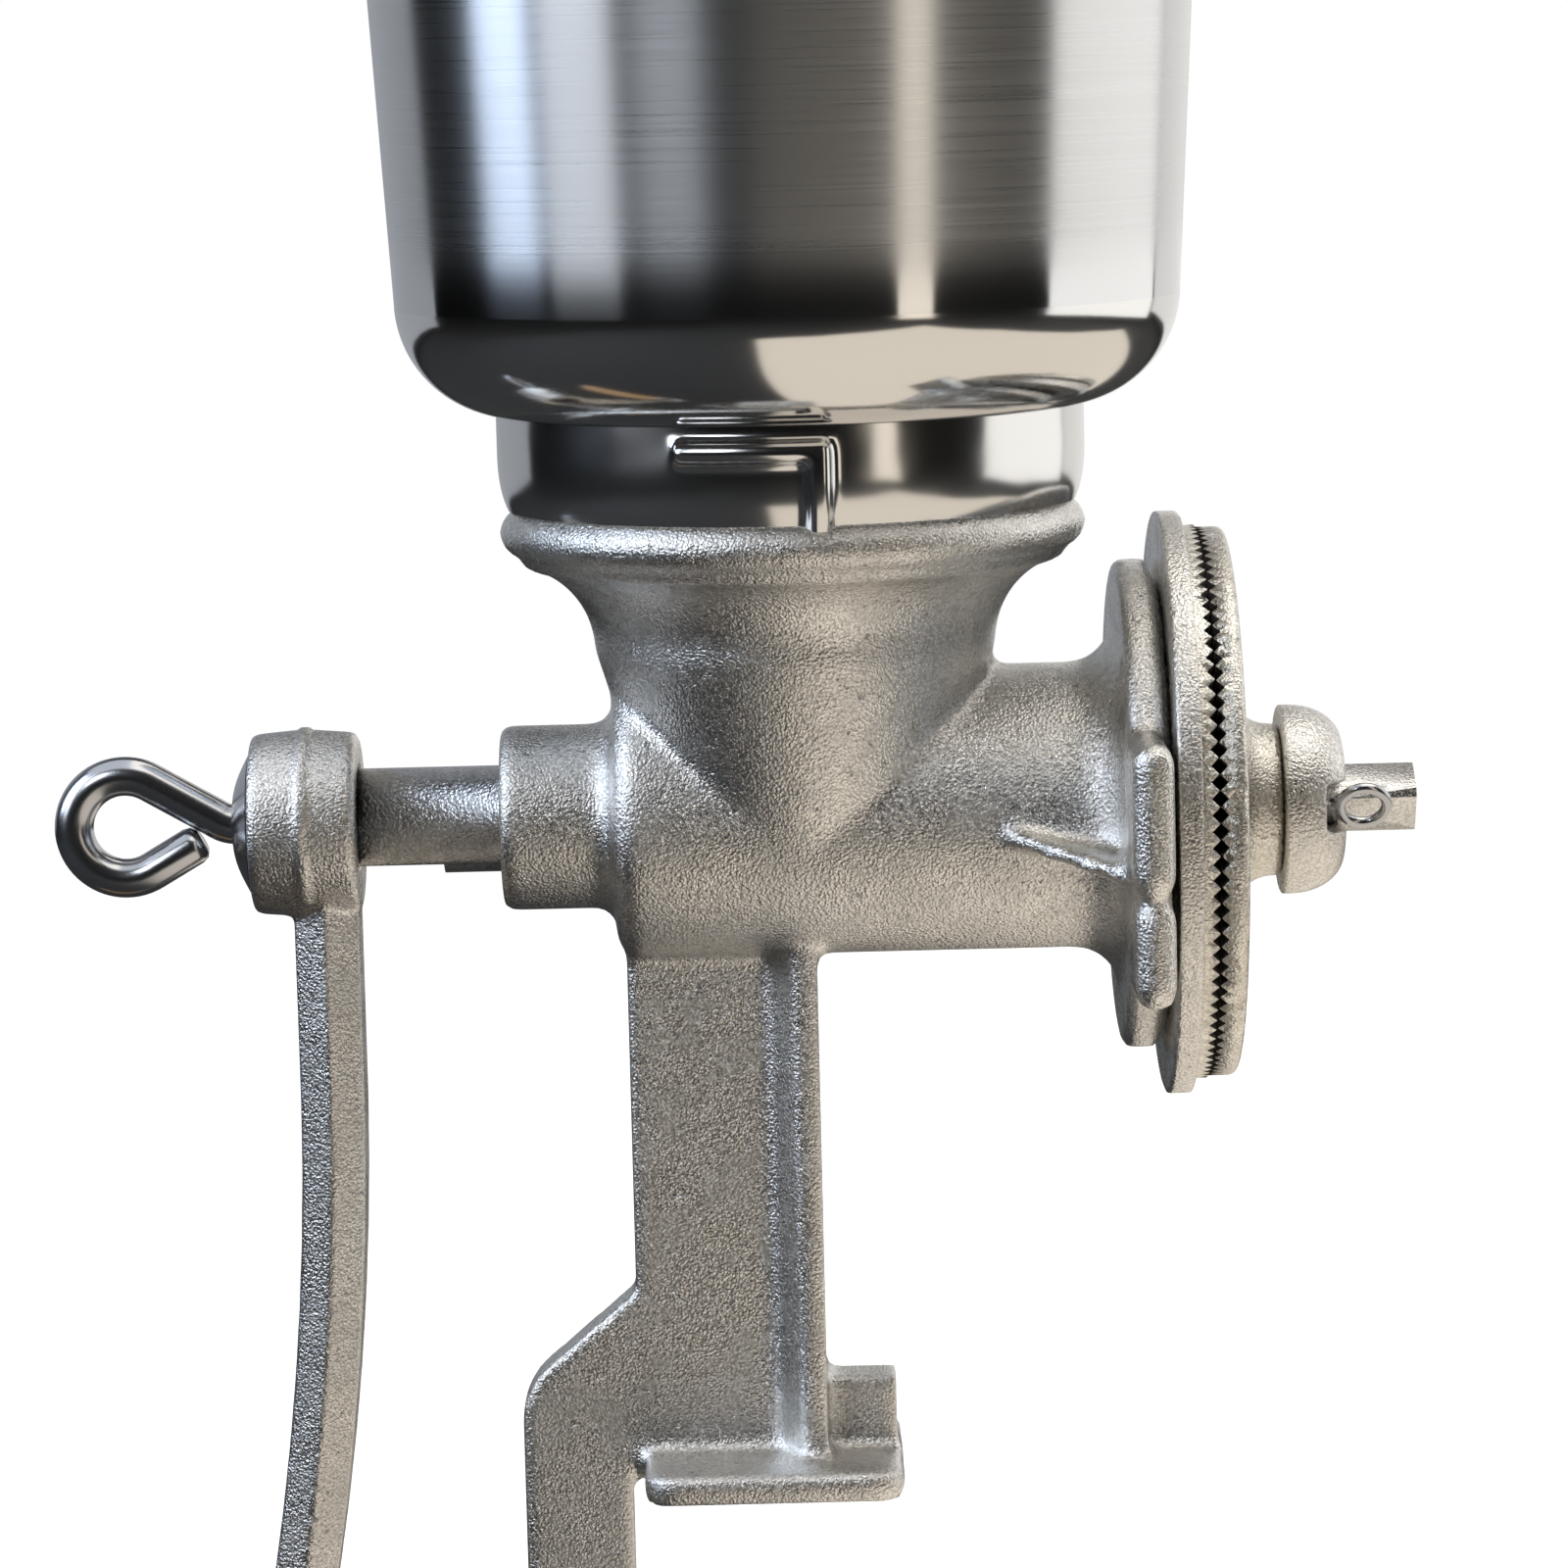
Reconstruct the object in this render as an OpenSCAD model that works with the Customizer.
// Hand-cranked corn mill with a table clamp and a tall sheet-metal hopper, in millimetres.
// X runs along the shaft towards the burrs, Z is up, and the front of the mill faces -Y.
// The origin is on the table seat, under the axis of the throat.

/* [Shaft line] */
// Height of the shaft axis over the table seat
axis_h = 121; // [114:1:130]
// Diameter of the shaft journal
shaft_d = 19; // [17:0.5:20]
// Depth of the flat that drives the crank
flat_depth = 2.3; // [1.5:0.1:3]
// Length of the flat that shows past the crank hub
flat_past = 15; // [10:1:20]
// Side of the square end of the shaft
square_side = 9.6; // [8:0.5:10]
// Bevel along the corners of the square end
square_bevel = 1.2; // [0.8:0.1:1.6]
// Turn of the square about the shaft axis, in degrees
square_turn = 31; // [0:1:45]
// Length of the square end past the keeper
nose_l = 12.9; // [10:0.5:16]
// Radial clearance of pieces that turn in each other
run_clear = 0.06; // [0.03:0.01:0.09]
// Clearance of pieces that are pushed together by hand
slip_clear = 0.15; // [0.1:0.05:0.3]

/* [Feed screw] */
// Diameter of the screw's core
core_d = 21; // [20.5:0.5:24]
// Advance of the flight in one turn
flight_lead = 28; // [24:1:32]
// Thickness of the flight at its tip
flight_tip = 3.5; // [2.5:0.5:5]
// Thickness of the flight at its root
flight_root = 7; // [6:0.5:9]
// Radial gap between the flight and the barrel
flight_gap = 0.6; // [0.4:0.1:1]
// Axial gap between the screw's shoulder and the end wall
thrust_gap = 0.3; // [0.2:0.1:0.6]

/* [Barrel] */
// Outer diameter of the barrel
barrel_d = 51; // [48:1:54]
// Wall of the barrel
barrel_wall = 4; // [3:0.5:5]
// Distance from the throat axis back to the end wall
barrel_back = 33; // [31:1:36]
// Thickness of the end wall
end_wall = 5; // [4:0.5:7]
// Diameter of the bearing boss
boss_d = 33; // [30:1:35]
// Length of the bearing boss
boss_l = 20; // [16:1:26]
// Radius of the fillet between boss and end wall
boss_fillet = 3.5; // [2:0.5:4]
// Radius of the barrel's rounded shoulder
shoulder_r = 4.5; // [3:0.5:5]

/* [Flange] */
// Distance from the throat axis to the flange face
flange_x = 64.2; // [60:0.2:70]
// Diameter of the flange
flange_d = 87.2; // [84:0.2:92]
// Thickness of the flange
flange_t = 7.7; // [6:0.1:9]
// Radius of the flare between barrel and flange
flare_r = 8; // [5:0.5:9]
// Reach of the bridge lugs from the shaft axis
lug_reach = 62; // [58:0.5:66]
// Height of the bridge lugs over the shaft axis
lug_up = 18.2; // [16:0.5:22]
// Depth of the bridge lugs under the shaft axis
lug_down = 27.8; // [24:0.1:30]
// Width of the lugs along the shaft
lug_w = 7.4; // [6:0.1:8]
// Drop of the crease between a lug's boss and its tongue, under the shaft axis
lug_crease = 8.6; // [6:0.1:11]
// Radius of the raised seat that the plates rest on
seat_r = 40; // [39:0.1:42]
// Height of the raised seat
seat_h = 1.3; // [0.8:0.1:2]

/* [Throat] */
// Distance that the throat's waist lies inside the lip
waist_in = 16.3; // [14:0.1:18]
// Height of the waist over the shaft axis
waist_h = 30; // [28:0.5:33]
// Wall of the throat
throat_wall = 4; // [3:0.5:5]
// Radius of the hollow curve over the waist
neck_curve = 16; // [14:0.5:18]
// Distance that the lip's edge lies inside the collar
lip_in = 0.1; // [0:0.1:0.6]
// Height of the lip's bead over the shaft axis
lip_h = 51.2; // [50:0.2:54]
// Radius of the lip's bead
bead_r = 4.3; // [3.5:0.1:5]
// Radial play between the spigot and the collar's hem
spigot_play = 1.1; // [0.5:0.1:1.6]
// Height of the spigot over the lip's bead
spigot_h = 16; // [14:0.5:18]
// Wall of the spigot
spigot_wall = 3.2; // [2.5:0.1:4]

/* [Leg and table clamp] */
// Width of the leg
leg_w = 34; // [30:1:38]
// Distance of the leg's edge in from the end wall
leg_inset = 1.5; // [0:0.5:4]
// Thickness of the leg's web
web_t = 10; // [8:0.5:13]
// Thickness of the leg's rib
rib_t = 4.3; // [3.5:0.1:6]
// Taper that the rib gains at its root
rib_taper = 4.3; // [2:0.1:5]
// Reach of the rib from the middle plane
rib_reach = 13; // [10:0.5:16]
// Distance that the clamp's back stands out from the leg
back_out = 21; // [14:0.5:24]
// Width of the clamp's back
back_w = 19.5; // [14:0.5:22]
// Thickness of the foot plate
foot_t = 5.5; // [5:0.5:9]
// Width of the foot plate
foot_w = 48; // [40:1:56]
// Length of the foot past the leg
foot_past = 13.5; // [10:0.5:18]
// Height of the wall over the foot's end
foot_wall_h = 18.5; // [16:1:26]
// Open height between the table seat and the lower jaw
clamp_gap = 60; // [56:1:70]
// Thickness of the lower jaw
jaw_t = 17; // [14:1:22]
// Distance of the clamp screw from the clamp's back
screw_reach = 26; // [24:1:30]
// Radius of the boss that holds the clamp screw
screw_boss_r = 13; // [11:0.5:15]

/* [Clamp screw] */
// Diameter of the clamp screw
screw_d = 12.5; // [11:0.5:14]
// Open height over the pad at rest
pad_rest = 30; // [28:1:32]
// Radius of the pad
pad_r = 14; // [12:0.5:16]
// Thickness of the pad
pad_t = 7.5; // [6.5:0.5:9]
// Diameter of the screw's tip in the pad
tip_d = 9; // [7:0.5:10]
// Depth of the tip's socket in the pad
tip_l = 4.5; // [3.5:0.5:5]
// Free length of screw under the jaw
screw_free = 30; // [28:1:36]
// Diameter of the rod that forms the clamp screw's eye
clamp_rod_d = 10; // [8:0.5:11]
// Middle radius of the clamp screw's eye
clamp_eye_r = 13; // [12:0.5:15]

/* [Hopper] */
// Thickness of the hopper's sheet
sheet_t = 0.8; // [0.6:0.1:1.2]
// Distance that the bowl's wall stands out from the collar
bowl_out = 17.3; // [14:0.1:19]
// Distance that the rim stands out from the foot of the wall
rim_out = 5.1; // [3:0.1:10]
// Height of the bowl from its neck to the rim
bowl_h = 113; // [95:1:130]
// Radius of the bowl's lower curve
bowl_curve = 20.5; // [18:0.5:22]
// Diameter of the wire in the rim
wire_d = 3; // [2:0.5:4]
// Outer radius of the collar
collar_r = 52; // [48:0.5:58]
// Height of the collar
collar_h = 17; // [16:0.5:20]
// Taper of the collar towards its hem
hem_taper = 1.7; // [1.4:0.1:1.9]
// Diameter of the bayonet pins
bayonet_d = 2; // [1.8:0.1:2.4]
// Turn of the bayonet, in degrees
bayonet_turn = 24; // [20:1:30]
// Height of the pressed bayonet channel
channel_proud = 2.4; // [2.2:0.1:3]

/* [Burrs] */
// Radius of the plate carrier
carrier_r = 52; // [50:0.5:55]
// Thickness of the plate carrier
carrier_t = 4.3; // [3.5:0.1:6]
// Radius of the fixed burr
fixed_r = 49.4; // [47:0.2:49.8]
// Thickness of the fixed burr, teeth included
fixed_t = 2.8; // [2.6:0.1:4]
// Radius of the rotating burr
rotor_r = 49; // [47:0.2:51]
// Thickness of the rotating burr's rim, teeth included
rotor_t = 4.8; // [4:0.1:6]
// Gap between the two burrs' teeth
burr_gap = 0.4; // [0.3:0.1:1.5]
// Number of teeth round each burr
teeth = 110; // [60:2:114]
// Depth of the teeth at the rim
tooth_depth = 1.3; // [1:0.1:1.4]
// Length of the teeth in from the rim
tooth_l = 18; // [12:1:22]
// Radius of the rotating burr's hub
hub_r = 13.6; // [12:0.2:15]
// Length of the rotating burr from its teeth to the hub's end
hub_l = 13.9; // [11:0.1:16]
// Radius of the fillet between hub and burr
hub_fillet = 7; // [4:0.5:8]
// Diameter of the screws that hold the fixed burr
plate_screw_d = 5; // [4:0.5:6]

/* [Keeper] */
// Radius of the keeper
keeper_r = 16.9; // [15:0.1:18]
// Length of the keeper
keeper_l = 11.2; // [9:0.1:13]
// Radius of the keeper's end face
keeper_end_r = 10.3; // [9:0.1:11]
// Width of the slot for the ring pin
keeper_slot = 8.6; // [7.8:0.1:9.6]
// Diameter of the ring pin's wire
ring_wire = 2; // [1.2:0.1:2]
// Middle radius of the ring pin's eye
ring_r = 4.1; // [3.9:0.1:5.5]

/* [Crank] */
// Gap between the bearing boss and the crank hub
crank_gap = 25.4; // [18:0.2:30]
// Width of the crank hub
crank_hub_w = 19.2; // [16:0.2:22]
// Radius of the crank hub at its parting line
crank_hub_r = 16.8; // [15.5:0.1:18]
// Draft of the hub on each side of the parting line
hub_draft = 0.7; // [0.3:0.1:1]
// Radius of the crank's swing, from shaft axis to grip axis
crank_r = 187; // [160:1:210]
// Thickness of the arm along the shaft
arm_t = 11.5; // [10:0.5:14]
// Width of the arm under the hub
arm_w = 19; // [16:0.5:22]
// Width of the arm over the grip
arm_w_low = 16; // [14:0.5:20]
// Outward bow of the arm at the grip
arm_bow = 19; // [10:1:26]
// Radius of the boss at the grip end
arm_boss_r = 13; // [11:0.5:15]
// Length of the boss at the grip end
arm_boss_l = 15; // [13:0.5:20]

/* [Crank screw] */
// Diameter of the eye screw's rod
eye_rod_d = 7; // [6:0.5:8]
// Middle radius of the eye
eye_r = 9.2; // [8.6:0.1:10.5]
// Distance from the washer to the middle of the eye
eye_reach = 18.3; // [17.5:0.1:22]
// Length of the screw inside the shaft
eye_screw_l = 22; // [16:1:28]
// Radius of the dished washer
washer_r = 12.8; // [10.5:0.1:14]
// Height of the washer's dish
washer_dish = 3.2; // [2:0.1:4]
// Thickness of the washer
washer_t = 1; // [0.8:0.1:1.4]

/* [Grip] */
// Length of the wooden grip
grip_l = 98; // [80:1:115]
// Largest radius of the grip
grip_r = 14.5; // [12.5:0.5:17]
// Radius of the grip at the arm
grip_end_r = 10.5; // [9.5:0.5:12]
// Diameter of the grip bolt
bolt_d = 8; // [6:0.5:9]
// Thickness of the bolt's head
bolt_head = 4; // [3:0.5:6]
// Thickness of the washer at the arm
grip_washer_t = 1.5; // [1:0.5:2.5]
// Thickness of the nut
nut_t = 6; // [5:0.5:7]

/* [Hidden] */
$fn = 96;

// Clearances and allowances that are the same all over
joint_gap = 0.3;
solder_gap = 0.05;
through = 1;
edge_r = 1.3;

// Places along the shaft
barrel_r = barrel_d / 2;
bore_r = barrel_r - barrel_wall;
boss_r = boss_d / 2;
shaft_r = shaft_d / 2;
back_x = -barrel_back;
boss_x = back_x - boss_l;
inside_x = back_x + end_wall;
flange_r = flange_d / 2;
flange_back = flange_x - flange_t;
carrier_x = flange_x;
fixed_x = carrier_x + carrier_t;
rotor_x = fixed_x + fixed_t + burr_gap;
hub_x = rotor_x + hub_l;
keeper_x = hub_x + keeper_l;
nose_x = keeper_x + nose_l;
crank_right = boss_x - crank_gap;
crank_left = crank_right - crank_hub_w;
shaft_left = crank_left + 1.1;
square_hole = square_side + 2 * slip_clear;
lug_root = flange_r - 8;
pin_x = keeper_x - ring_wire * 0.6;

// Places of the leg and the clamp
leg_left = back_x + leg_inset;
leg_right = leg_left + leg_w;
back_left = leg_left - back_out;
back_in = back_left + back_w;
foot_right = leg_right + foot_past;
wall_right = foot_right - 1;
web_right = leg_right - 0.5;
web_top = axis_h - (barrel_r + bore_r) / 2;
screw_x = back_in + screw_reach;
jaw_top = -clamp_gap;
jaw_bottom = jaw_top - jaw_t;
screw_boss_top = jaw_top + 2;
screw_boss_bottom = jaw_bottom - 4;
back_curve = 13;
back_curve_end = 130;
back_curve_z = 11.5;
jaw_curve = 15;
jaw_fillet = 6;
pad_top = -pad_rest;
pad_bottom = pad_top - pad_t;
screw_r = screw_d / 2;
screw_bottom = screw_boss_bottom - screw_free;

// Places of the throat and the hopper, over the shaft axis
lip_r = collar_r - lip_in;
waist_r = lip_r - waist_in;
bowl_r = collar_r + bowl_out;
rim_r = bowl_r + rim_out;
bead_in = lip_r - bead_r;
spigot_r = collar_r - hem_taper - sheet_t - spigot_play;
spigot_top = lip_h + spigot_h;
spigot_in = spigot_r - spigot_wall;
hem_r = collar_r - hem_taper;
hem_z = lip_h + sqrt(bead_r * bead_r - pow(hem_r - sheet_t - bead_in, 2)) + joint_gap;
hem_h = 4;
collar_top = hem_z + collar_h;
neck_r = collar_r - sheet_t - solder_gap;
neck_l = 1.6;
curve_r0 = bowl_r - bowl_curve;
curve_z = collar_top + solder_gap + sqrt(bowl_curve * bowl_curve - pow(collar_r - curve_r0, 2));
rim_z = collar_top + bowl_h;
rim_curl_r = wire_d / 2 + joint_gap + sheet_t;
channel_in = bayonet_d + 4 * slip_clear;
channel_out = channel_in + 2 * sheet_t;
channel_z = collar_top - 2.2 - channel_out / 2;
channel_r = collar_r + channel_proud;
channel_end = 5;
pin_play = 0.3;
pin_angle = channel_end - bayonet_turn;
bayonets = [0, 180];

// Places of the crank and the grip
grip_z = axis_h - crank_r;
arm_top_x = crank_right - crank_hub_w * 0.33;
arm_bow_start = 46;
arm_end_x = arm_top_x - arm_bow;
arm_boss_left = arm_end_x - arm_boss_l / 2;
arm_boss_right = arm_end_x + arm_boss_l / 2;
grip_right = arm_boss_left - grip_washer_t - joint_gap;
grip_left = grip_right - grip_l;
bolt_r = bolt_d / 2;
bolt_head_r = bolt_d * 0.9;
eye_elbow_x = crank_left - washer_dish - 1.3;
screw_places = [135, 315];
screw_circle = (bore_r + fixed_r) / 2;
plate_screw_r = plate_screw_d / 2;
tooth_start = rotor_r - tooth_l;

// Points of an arc, as [x, y] pairs
function arc(c, r, a0, a1, n = 8) =
    [for (i = [0:n]) let (a = a0 + (a1 - a0) * i / n) c + r * [cos(a), sin(a)]];

// A rectangle with round corners, anticlockwise from its lower left
function round_box(x0, y0, x1, y1, r) = concat(
    arc([x0 + r, y0 + r], r, 180, 270), arc([x1 - r, y0 + r], r, 270, 360),
    arc([x1 - r, y1 - r], r, 0, 90), arc([x0 + r, y1 - r], r, 90, 180));

// A closed skin over rings of points; each ring runs anticlockwise as seen along the loft
module loft(rings) {
    n = len(rings[0]);
    last = len(rings) - 1;
    points = [for (ring = rings) each ring];
    near = [[for (i = [n - 1:-1:0]) i]];
    far = [[for (i = [0:n - 1]) last * n + i]];
    walls = [for (k = [0:last - 1], i = [0:n - 1])
        let (a = k * n + i, b = k * n + (i + 1) % n) each [[a, b, b + n], [a, b + n, a + n]]];
    polyhedron(points = points, faces = concat(near, walls, far), convexity = 10);
}

// Puts shapes drawn along Z onto the shaft axis, starting at x
module on_shaft(x = 0) {
    translate([x, 0, axis_h]) rotate([0, 90, 0]) children();
}

// Puts shapes drawn along Z onto the grip axis, starting at x
module on_grip(x = 0) {
    translate([x, 0, grip_z]) rotate([0, 90, 0]) children();
}

// A bent-rod eye below the origin: a straight neck end, a loop and a free end that stops short
module eye(rod_d, loop_r, reach, free_gap) {
    lean = asin(loop_r / reach);
    side = sqrt(reach * reach - loop_r * loop_r);
    rod = rod_d / 2;
    knuckle = rod * 1.01;
    sphere(knuckle);
    rotate([0, -lean, 0]) translate([0, 0, -side]) {
        cylinder(r = rod, h = side);
        sphere(knuckle);
    }
    rotate([0, lean, 0]) translate([0, 0, -side]) {
        cylinder(r = rod, h = side - free_gap);
        sphere(knuckle);
    }
    translate([0, 0, -reach]) rotate([90, 0, 0]) rotate([0, 0, 180 - lean])
        rotate_extrude(angle = 180 + 2 * lean) translate([loop_r, 0]) circle(rod);
}

module barrel_outside() {
    on_shaft() rotate_extrude() polygon(concat(
        [[0, boss_x]],
        arc([boss_r - edge_r, boss_x + edge_r], edge_r, -90, 0, 4),
        arc([boss_r + boss_fillet, back_x - boss_fillet], boss_fillet, 180, 90),
        arc([barrel_r - shoulder_r, back_x + shoulder_r], shoulder_r, -90, 0),
        arc([barrel_r + flare_r, flange_back - flare_r], flare_r, 180, 90),
        arc([flange_r - edge_r, flange_back + edge_r], edge_r, -90, 0, 4),
        [[flange_r, flange_x - seat_h], [seat_r, flange_x - seat_h], [seat_r, flange_x], [0, flange_x]]));
}

module throat_outside() {
    neck = [waist_r + neck_curve, waist_h];
    ridge_r = 1.3;
    neck_end = 112;
    neck_top = neck + neck_curve * [cos(neck_end), sin(neck_end)];
    ridge = [neck_top[0] + ridge_r, neck_top[1] + ridge_r];
    bead_stop = acos((spigot_r - bead_in) / bead_r);
    translate([0, 0, axis_h]) rotate_extrude() polygon(concat(
        [[0, -barrel_r / 4], [barrel_r - 1, -barrel_r / 4]],
        arc(neck, neck_curve, 180, neck_end),
        arc(ridge, ridge_r, -90, 60, 6),
        arc([bead_in, lip_h], bead_r, -48, bead_stop, 10),
        [[spigot_r, spigot_top], [0, spigot_top]]));
}

module throat_inside() {
    neck = [waist_r + neck_curve, waist_h];
    inner = neck_curve + throat_wall;
    stop = acos((spigot_in - neck[0]) / inner);
    translate([0, 0, axis_h]) rotate_extrude() polygon(concat(
        [[0, 0], [bore_r - 1, 0]],
        arc(neck, inner, 180, stop),
        [[spigot_in, spigot_top + through], [0, spigot_top + through]]));
}

// The leg, the clamp's back and the lower jaw, as one flat outline
function frame_outline() =
    let (curve = [back_left + back_curve, back_curve_z],
        turn = curve + back_curve * [cos(back_curve_end), sin(back_curve_end)],
        flare_top = turn[1] + (leg_left - turn[0]) * tan(back_curve_end - 90))
    concat(
        arc([back_left + jaw_curve, jaw_bottom + jaw_curve], jaw_curve, 180, 270),
        [[screw_x + screw_boss_r / 2, jaw_bottom], [screw_x + screw_boss_r / 2, jaw_top]],
        arc([back_in + jaw_fillet, jaw_top + jaw_fillet], jaw_fillet, 270, 180, 5),
        [[back_in, foot_t / 2], [wall_right, foot_t / 2], [wall_right, foot_wall_h],
            [web_right, foot_wall_h], [web_right, web_top], [leg_left, web_top],
            [leg_left, flare_top]],
        arc(curve, back_curve, back_curve_end, 180));

module web() {
    rotate([90, 0, 0]) translate([0, 0, -web_t / 2]) linear_extrude(web_t) polygon(frame_outline());
}

module rib() {
    rib_left = leg_right - rib_t;
    root_left = rib_left - rib_taper;
    rib_top = axis_h - sqrt(pow((barrel_r + bore_r) / 2, 2) - rib_reach * rib_reach);
    translate([0, 0, foot_t / 2]) linear_extrude(rib_top - foot_t / 2) polygon([
        [root_left, -web_t / 2], [rib_left, -rib_reach], [leg_right, -rib_reach],
        [leg_right, rib_reach], [rib_left, rib_reach], [root_left, web_t / 2]]);
}

module foot() {
    foot_round = 6;
    foot_step = 2.5;
    linear_extrude(foot_t)
        polygon(round_box(back_in + foot_step, -foot_w / 2, foot_right, foot_w / 2, foot_round));
}

// An upright bar with a half-round front and round ends, on the flange's side
module lug_bar(z0, z1, reach) {
    half = lug_w / 2;
    back = half * 0.96;
    front = reach - half;
    translate([flange_x - seat_h + joint_gap - half, 0, axis_h]) {
        translate([0, -front, z0 + half]) cylinder(r = half, h = z1 - z0 - lug_w);
        for (z = [z0 + half, z1 - half]) translate([0, -front, z]) sphere(half * 1.01);
        rotate([90, 0, 0]) translate([0, 0, lug_root]) linear_extrude(front - lug_root)
            polygon(concat(arc([0, z0 + half], back, 180, 360), arc([0, z1 - half], back, 0, 180)));
    }
}

// A lug that holds the bridge over the burrs: a boss above a crease and a tongue below it
module bridge_lug() {
    core = lug_w * 0.8;
    core_l = lug_reach - lug_w - lug_root;
    lug_bar(-lug_crease, lug_up, lug_reach);
    lug_bar(-lug_down, -lug_crease, lug_reach - 1);
    translate([flange_x - lug_w, -lug_root - core_l, axis_h - lug_down + lug_w])
        cube([core, core_l, lug_up + lug_down - 2 * lug_w]);
}

// A thin wedge that stiffens the lug against the barrel, falling towards the crease
module gusset() {
    gusset_t = 3;
    gusset_l = 22;
    gusset_fall = 13;
    translate([flange_back - gusset_l, 0, axis_h]) rotate([0, gusset_fall, 0])
        translate([0, 0, -gusset_t]) linear_extrude(gusset_t) polygon([
            [0, -barrel_r + 1], [gusset_l + edge_r, -flange_r - 4], [gusset_l + edge_r, -bore_r - 1]]);
}

module screw_boss() {
    translate([screw_x, 0, screw_boss_bottom])
        cylinder(r = screw_boss_r, h = screw_boss_top - screw_boss_bottom);
}

module body_casting() {
    color("silver") difference() {
        union() {
            barrel_outside();
            throat_outside();
            web();
            rib();
            foot();
            screw_boss();
            for (side = [0, 1]) mirror([0, side, 0]) {
                bridge_lug();
                gusset();
            }
        }
        throat_inside();
        on_shaft(inside_x) cylinder(r = bore_r, h = flange_x - inside_x + through);
        on_shaft(boss_x - through) cylinder(r = shaft_r + run_clear, h = boss_l + end_wall + 2 * through);
        translate([screw_x, 0, screw_boss_bottom - through])
            cylinder(r = screw_r + run_clear, h = screw_boss_top - screw_boss_bottom + 2 * through);
        for (a = screw_places) on_shaft(flange_back - through) rotate([0, 0, a + 90])
            translate([screw_circle, 0, 0]) cylinder(r = plate_screw_r, h = flange_t + 2 * through);
        for (a = bayonets) bayonet_hole(a);
    }
}

// The place of a bayonet pin, along its own axis from the spigot's inner wall
module at_bayonet(a) {
    translate([0, 0, axis_h + channel_z]) rotate([0, 0, a - 90 + pin_angle]) rotate([0, 90, 0])
        translate([0, 0, spigot_in]) children();
}

module bayonet_hole(a) {
    at_bayonet(a) translate([0, 0, -through]) cylinder(d = bayonet_d, h = spigot_wall + 2 * through);
}

module bayonet_pins() {
    pin_l = channel_r - sheet_t - joint_gap - spigot_in;
    color("dimgray") for (a = bayonets) at_bayonet(a) cylinder(d = bayonet_d, h = pin_l);
}

module plate_carrier() {
    color("lightgray") difference() {
        on_shaft(carrier_x) cylinder(r = carrier_r, h = carrier_t);
        on_shaft(carrier_x - through) cylinder(r = bore_r, h = carrier_t + 2 * through);
        for (a = screw_places) on_shaft(carrier_x - through) rotate([0, 0, a + 90])
            translate([screw_circle, 0, 0])
            cylinder(r = plate_screw_r + slip_clear, h = carrier_t + 2 * through);
        for (a = screw_places) on_shaft(fixed_x - through) rotate([0, 0, a + 90])
            translate([screw_circle, 0, 0]) screw_seat(slip_clear, fixed_t + 2 * through);
    }
}

// Cuts the radial V grooves into a face at height z, deepest at radius r and running out at the axis
module tooth_grooves(r, from, z) {
    fall = atan(tooth_depth / r);
    side = 2 * tooth_depth;
    for (i = [0:teeth - 1]) rotate([0, 0, 360 * i / teeth]) translate([0, 0, z])
        rotate([0, fall, 0]) translate([from, 0, 0]) rotate([45, 0, 0])
        cube([r - from + 2 * through, side, side]);
}

module fixed_burr() {
    color("lightgray") difference() {
        on_shaft(fixed_x) cylinder(r = fixed_r, h = fixed_t);
        on_shaft(fixed_x - through) cylinder(r = bore_r, h = fixed_t + 2 * through);
        on_shaft(fixed_x) tooth_grooves(fixed_r, fixed_r - tooth_l, fixed_t);
        for (a = screw_places) on_shaft(fixed_x) rotate([0, 0, a + 90])
            translate([screw_circle, 0, -through]) screw_seat(slip_clear, fixed_t + 2 * through);
    }
}

// The countersunk hole, or with no clearance the head, of a burr screw
module screw_seat(clear, h) {
    head_h = plate_screw_r;
    top = through + fixed_t - tooth_depth;
    rotate_extrude() polygon([
        [0, 0], [plate_screw_r + clear, 0], [plate_screw_r + clear, max(0.1, top - head_h)],
        [2 * plate_screw_r + clear, top], [2 * plate_screw_r + clear, h], [0, h]]);
}

module burr_screws() {
    tail = 2;
    color("gray") for (a = screw_places) on_shaft() rotate([0, 0, a + 90])
        translate([screw_circle, 0, 0]) {
            translate([0, 0, flange_back + tail])
                cylinder(r = plate_screw_r, h = fixed_x - flange_back - tail);
            translate([0, 0, fixed_x - through])
                screw_seat(0, through + fixed_t - tooth_depth + joint_gap);
        }
}

module flight() {
    turns = (flange_x - joint_gap - inside_x - thrust_gap - flight_root) / flight_lead;
    steps = floor(turns * 24);
    out_r = bore_r - flight_gap;
    in_r = core_d / 2 - 1;
    ease = 4;
    function reach(i) = in_r + 2 + (out_r - in_r - 2) * min(1, i / ease, (steps - i) / ease);
    loft([for (i = [0:steps])
        let (a = -15 * i, z = flight_lead * i / 24, d = [cos(a), sin(a)], r = reach(i))
        [[in_r * d[0], in_r * d[1], z + flight_root / 2], [r * d[0], r * d[1], z + flight_tip / 2],
            [r * d[0], r * d[1], z - flight_tip / 2], [in_r * d[0], in_r * d[1], z - flight_root / 2]]]);
}

module square_bar(side, bevel, h) {
    a = side / 2;
    b = a - bevel;
    rotate([0, 0, square_turn]) linear_extrude(h)
        polygon([[a, -b], [a, b], [b, a], [-b, a], [-a, b], [-a, -b], [-b, -a], [b, -a]]);
}

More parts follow.
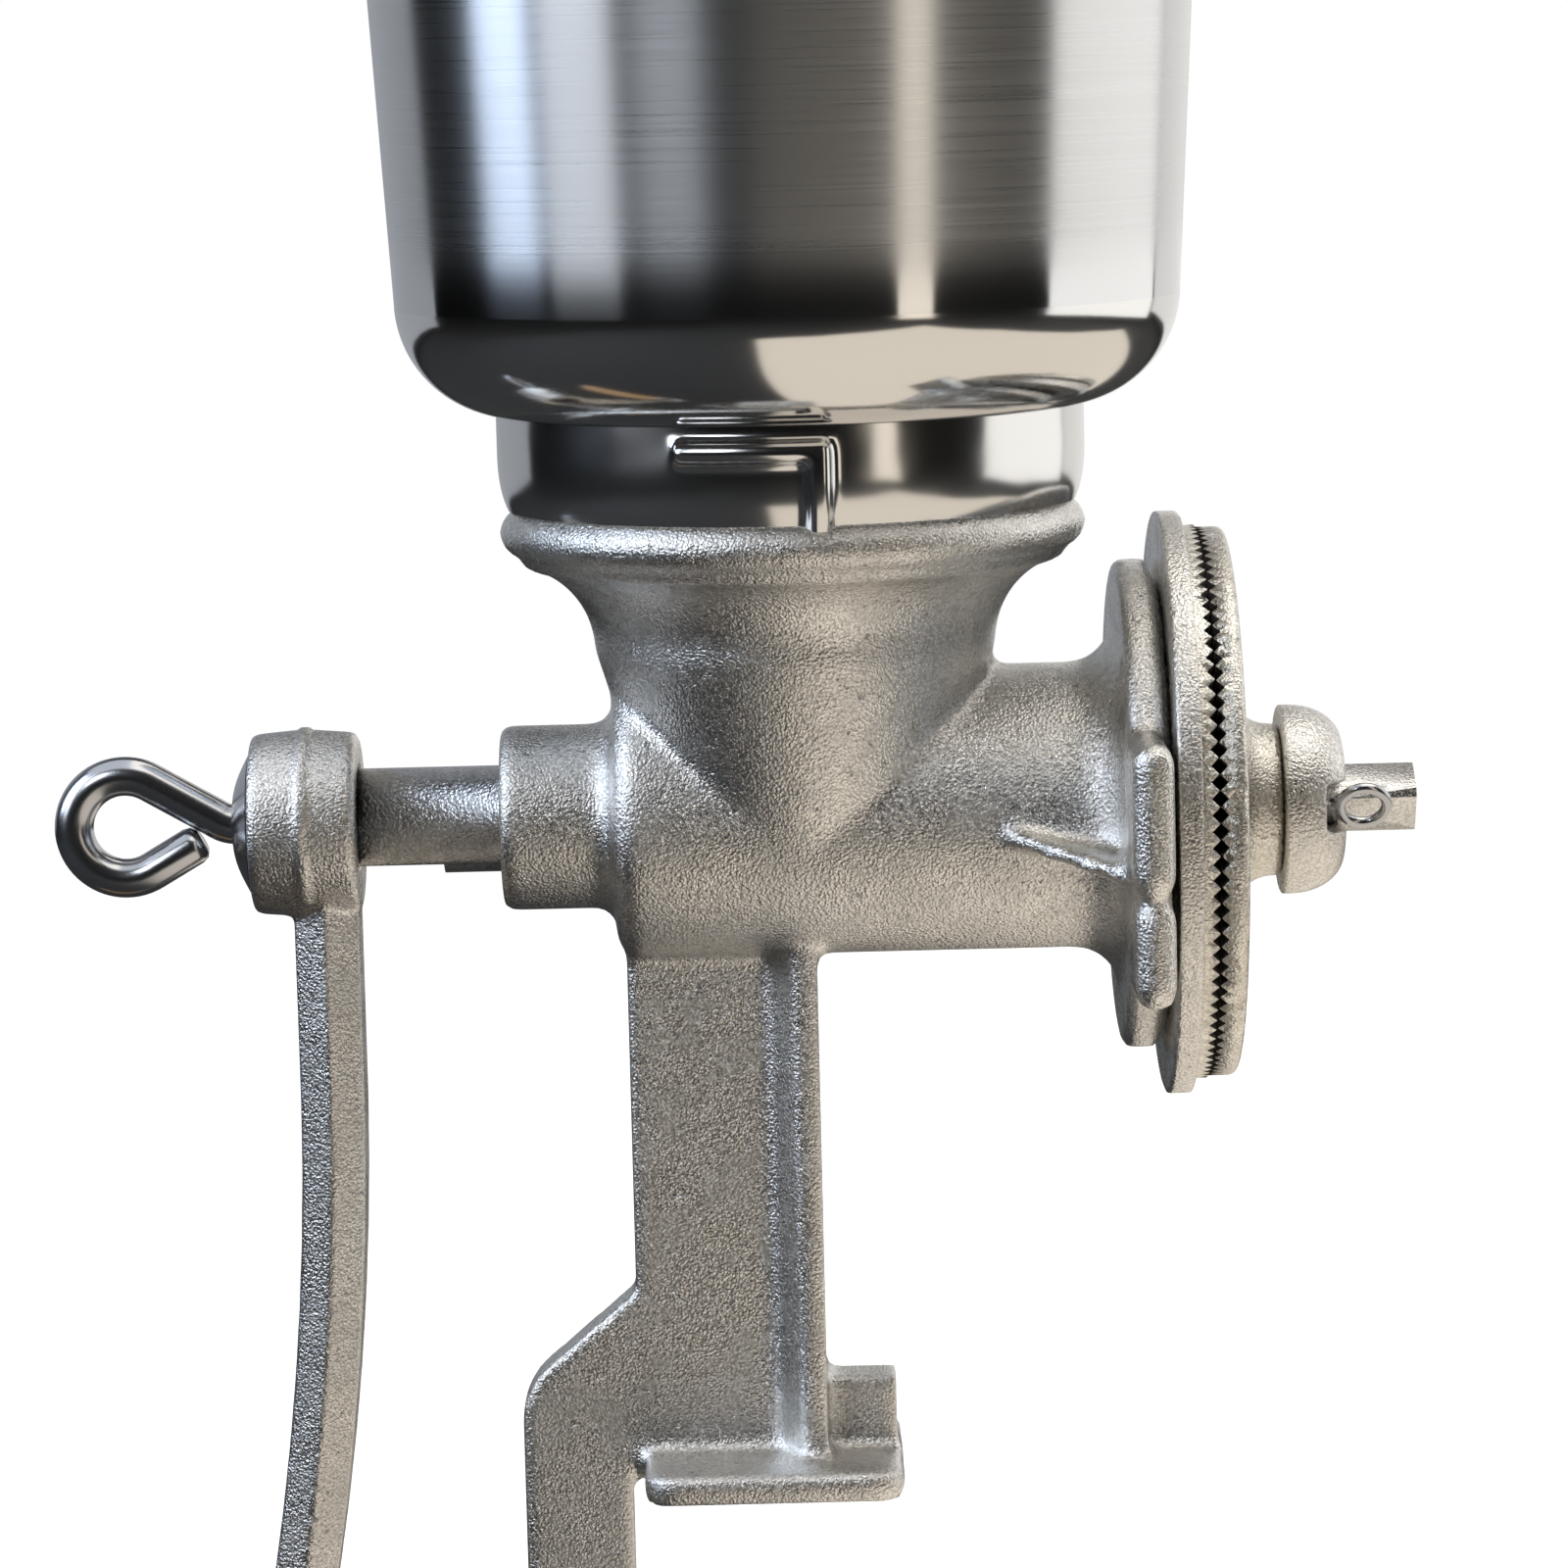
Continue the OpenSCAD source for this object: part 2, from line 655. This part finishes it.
module auger_shaft() {
    core_x = inside_x + thrust_gap;
    flat_end = crank_right + flat_past;
    collar_l = 4;
    color("gray") difference() {
        union() {
            on_shaft(shaft_left) cylinder(r = shaft_r, h = core_x - shaft_left + through);
            on_shaft(core_x) cylinder(d = core_d, h = fixed_x - core_x);
            on_shaft(core_x) cylinder(d = core_d + collar_l, h = collar_l);
            on_shaft(core_x + flight_root / 2) flight();
            on_shaft(fixed_x - through)
                cylinder(r1 = core_d / 2, r2 = square_side / 2, h = fixed_t + through);
            on_shaft(fixed_x - through)
                square_bar(square_side, square_bevel, nose_x - fixed_x + through);
        }
        on_shaft(shaft_left - through) translate([shaft_r - flat_depth, -shaft_d, 0])
            cube([shaft_d, 2 * shaft_d, flat_end - shaft_left + through]);
        on_shaft(shaft_left - through)
            cylinder(r = eye_rod_d / 2 + run_clear, h = eye_screw_l + joint_gap + through);
        translate([pin_x, -square_side, axis_h]) rotate([-90, 0, 0])
            cylinder(r = ring_wire / 2 + slip_clear, h = 2 * square_side);
    }
}

module rotating_burr() {
    rim = rotor_r - edge_r;
    cone = hub_fillet + hub_r;
    face = rotor_t + 0.6;
    color("lightgray") difference() {
        on_shaft(rotor_x) rotate_extrude() polygon(concat(
            [[0, 0], [rotor_r, 0]],
            arc([rim, rotor_t - edge_r], edge_r, 0, 90, 4),
            arc([cone, face + hub_fillet], hub_fillet, 270, 180),
            arc([hub_r - edge_r, hub_l - edge_r], edge_r, 0, 90, 4),
            [[0, hub_l]]));
        on_shaft(rotor_x - through) square_bar(square_hole, square_bevel, hub_l + 2 * through);
        on_shaft(rotor_x) mirror([0, 0, 1]) tooth_grooves(rotor_r, tooth_start, 0);
    }
}

module burr_keeper() {
    slot_depth = 4;
    dome_n = 10;
    dome = keeper_r - keeper_end_r;
    color("lightgray") difference() {
        on_shaft(hub_x) rotate_extrude() polygon(concat(
            [[0, 0], [keeper_r, 0]],
            [for (i = [0:dome_n]) let (a = 90 * i / dome_n)
                [keeper_end_r + dome * cos(a), 2 + (keeper_l - 2) * sin(a)]],
            [[0, keeper_l]]));
        on_shaft(hub_x - through) square_bar(square_hole, square_bevel, keeper_l + 2 * through);
        on_shaft(keeper_x - slot_depth) translate([-keeper_slot / 2, -keeper_r, 0])
            cube([keeper_slot, 2 * keeper_r, slot_depth + through]);
    }
}

module keeper_pin() {
    eye_y = -square_side / sqrt(2) - 2 * ring_wire;
    wire_r = ring_wire / 2;
    tail = square_side;
    ring_tilt = 35;
    color("gray") {
        translate([pin_x, eye_y, axis_h]) rotate([-90, 0, 0]) cylinder(r = wire_r, h = tail - eye_y);
        translate([pin_x, eye_y, axis_h]) sphere(wire_r);
        translate([pin_x + ring_r, eye_y, axis_h]) rotate([90 + ring_tilt, 0, 0])
            rotate_extrude() translate([ring_r, 0]) circle(wire_r);
    }
}

// Middle of the arm, in X, at a depth under the shaft axis
function arm_x(depth) = arm_top_x
    - arm_bow * pow(max(0, depth - arm_bow_start) / (crank_r - arm_bow_start), 2);

module arm() {
    steps = 14;
    start = crank_hub_r - 4;
    flat_share = 0.3;
    loft([for (i = [0:steps])
        let (s = i / steps, depth = start + (crank_r - start) * s, x = arm_x(depth),
            w = arm_w + (arm_w_low - arm_w) * s, h = arm_t / 2, f = w * flat_share, z = axis_h - depth)
        [[x - h, f, z], [x - h, -f, z], [x, -w / 2, z], [x + h, -f, z], [x + h, f, z], [x, w / 2, z]]]);
}

module crank_arm() {
    draft_r = crank_hub_r - hub_draft;
    flat_at = shaft_r - flat_depth + slip_clear;
    color("silver") difference() {
        union() {
            on_shaft(crank_left) rotate_extrude() polygon(concat(
                [[0, 0]],
                arc([draft_r - edge_r, edge_r], edge_r, -90, 0, 4),
                [[crank_hub_r, crank_hub_w / 2]],
                arc([draft_r - edge_r, crank_hub_w - edge_r], edge_r, 0, 90, 4),
                [[0, crank_hub_w]]));
            arm();
            on_grip(arm_boss_left) cylinder(r = arm_boss_r, h = arm_boss_l);
        }
        on_shaft(crank_left - through) intersection() {
            cylinder(r = shaft_r + slip_clear, h = crank_hub_w + 2 * through);
            translate([flat_at - shaft_d * 2, -shaft_d, 0])
                cube([shaft_d * 2, shaft_d * 2, crank_hub_w + 2 * through]);
        }
        on_grip(arm_boss_left - through) cylinder(r = bolt_r + slip_clear, h = arm_boss_l + 2 * through);
    }
}

module crank_washer() {
    hole = eye_rod_d / 2 + slip_clear;
    n = 8;
    function dish(s) = -washer_dish * cos(90 * s);
    color("gray") on_shaft(crank_left - joint_gap) rotate_extrude() polygon(concat(
        [for (i = [0:n]) [hole + (washer_r - hole) * i / n, dish(i / n)]],
        [for (i = [n:-1:0]) [hole + (washer_r - hole) * i / n - (i == 0 ? 0 : washer_t * i / n * 0.4),
            min(0, dish(i / n) + washer_t)]]));
}

module crank_eye_screw() {
    color("dimgray") {
        on_shaft(eye_elbow_x)
            cylinder(d = eye_rod_d, h = shaft_left + eye_screw_l - eye_elbow_x);
        on_shaft(eye_elbow_x) mirror([1, 0, 0])
            eye(eye_rod_d, eye_r, eye_reach, eye_rod_d * 0.75);
    }
}

module grip_bolt() {
    color("gray") {
        on_grip(grip_left - joint_gap - bolt_head) rotate_extrude() polygon(concat(
            [[0, 0]], arc([bolt_head_r - 2, 2], 2, -90, 0, 5), [[bolt_head_r, bolt_head], [0, bolt_head]]));
        on_grip(grip_left - joint_gap - through)
            cylinder(r = bolt_r, h = arm_boss_right + nut_t + 2 - grip_left + joint_gap + through);
    }
}

module grip_washer() {
    color("gray") difference() {
        on_grip(arm_boss_left - grip_washer_t) cylinder(r = bolt_d, h = grip_washer_t);
        on_grip(arm_boss_left - grip_washer_t - through)
            cylinder(r = bolt_r + slip_clear, h = grip_washer_t + 2 * through);
    }
}

module grip_nut() {
    color("gray") difference() {
        on_grip(arm_boss_right) cylinder(r = bolt_d * 0.95, h = nut_t, $fn = 6);
        on_grip(arm_boss_right - through) cylinder(r = bolt_r + solder_gap, h = nut_t + 2 * through);
    }
}

// Half the thickness of the turned grip, at a share of its length from the outer end
function grip_half(s) = grip_end_r + (grip_r - grip_end_r) * pow(sin(180 * pow(s, 0.8)), 0.7);

module grip() {
    n = 24;
    end_round = 0.03;
    color("burlywood") difference() {
        on_grip(grip_left) rotate_extrude() polygon(concat(
            [[0, 0], [grip_end_r - 2, 0]],
            [for (i = [1:n - 1]) let (s = end_round + (1 - 2 * end_round) * i / n)
                [grip_half(s), grip_l * s]],
            [[grip_end_r - 1, grip_l], [0, grip_l]]));
        on_grip(grip_left - through) cylinder(r = bolt_r + run_clear, h = grip_l + 2 * through);
    }
}

module hopper_bowl() {
    function low(t) = -acos((neck_r - t - curve_r0) / (bowl_curve - t));
    function wall(t) = concat(
        [[neck_r - t, collar_top - neck_l]],
        arc([curve_r0, curve_z], bowl_curve - t, low(t), 0, 14),
        [[rim_r - t, rim_z]]);
    inner = wall(sheet_t);
    turned = [for (i = [len(inner) - 1:-1:0]) inner[i]];
    curl = rim_r - sheet_t + rim_curl_r;
    color("gainsboro") translate([0, 0, axis_h]) {
        rotate_extrude() polygon(concat(wall(0), turned));
        rotate_extrude() difference() {
            translate([curl, rim_z]) circle(rim_curl_r);
            translate([curl, rim_z]) circle(rim_curl_r - sheet_t);
            translate([curl, rim_z - 2 * rim_curl_r]) square([2 * rim_curl_r, 2 * rim_curl_r - wire_d / 3]);
        }
    }
}

module hopper_rim_wire() {
    color("gray") translate([0, 0, axis_h + rim_z]) rotate_extrude()
        translate([rim_r - sheet_t + rim_curl_r, 0]) circle(d = wire_d);
}

// A sector of a ring about the throat axis, from angle a over a span, 0 being the front
module ring_sector(a, span, r0, r1, z0, z1) {
    rotate([0, 0, a - 90]) rotate_extrude(angle = span)
        translate([r0, z0]) square([r1 - r0, z1 - z0]);
}

// The pressed bayonet channel: a level run with a leg that opens at the hem
module channel(r1, width, past) {
    step = joint_gap;
    half = asin(width / 2 / collar_r);
    play = asin((width / 2 + pin_play) / collar_r);
    run = channel_end + asin((width / 2 + 2 * step) / collar_r) - pin_angle + play;
    ring_sector(pin_angle - play, run, spigot_in, r1, channel_z - width / 2, channel_z + width / 2);
    ring_sector(channel_end - half, 2 * half, spigot_in + step, r1 - step, hem_z - past, channel_z);
}

module hopper_collar() {
    function skin(t) = [[hem_r - t, hem_z], [collar_r - t, hem_z + hem_h], [collar_r - t, collar_top]];
    color("gainsboro") translate([0, 0, axis_h]) difference() {
        union() {
            rotate_extrude() polygon(concat([[0, hem_z]], skin(0), [[0, collar_top]]));
            for (a = bayonets) rotate([0, 0, a]) channel(channel_r, channel_out, 0);
        }
        rotate_extrude() polygon(concat(
            [[0, hem_z - through], [hem_r - sheet_t, hem_z - through]], skin(sheet_t),
            [[collar_r - sheet_t, collar_top + through], [0, collar_top + through]]));
        for (a = bayonets) rotate([0, 0, a]) channel(channel_r - sheet_t, channel_in, through);
    }
}

module clamp_screw() {
    tip_gap = 0.2;
    color("dimgray") {
        translate([screw_x, 0, screw_bottom])
            cylinder(r = screw_r, h = pad_bottom - joint_gap - screw_bottom);
        translate([screw_x, 0, pad_bottom - joint_gap - through])
            cylinder(d = tip_d, h = tip_l - tip_gap + joint_gap + through);
        translate([screw_x, 0, screw_bottom])
            eye(clamp_rod_d, clamp_eye_r, clamp_eye_r * 1.8, clamp_rod_d * 1.4);
    }
}

module clamp_pad() {
    chamfer = 1.5;
    color("gray") translate([screw_x, 0, pad_bottom]) rotate_extrude() polygon([
        [tip_d / 2 + run_clear, 0], [pad_r - 2 * chamfer, 0], [pad_r, pad_t / 2], [pad_r, pad_t - chamfer],
        [pad_r - chamfer, pad_t], [0, pad_t], [0, tip_l], [tip_d / 2 + run_clear, tip_l]]);
}

body_casting();
bayonet_pins();
plate_carrier();
fixed_burr();
burr_screws();
hopper_bowl();
hopper_collar();
hopper_rim_wire();
auger_shaft();
rotating_burr();
burr_keeper();
keeper_pin();
crank_arm();
crank_washer();
crank_eye_screw();
grip_bolt();
grip_washer();
grip_nut();
grip();
clamp_screw();
clamp_pad();
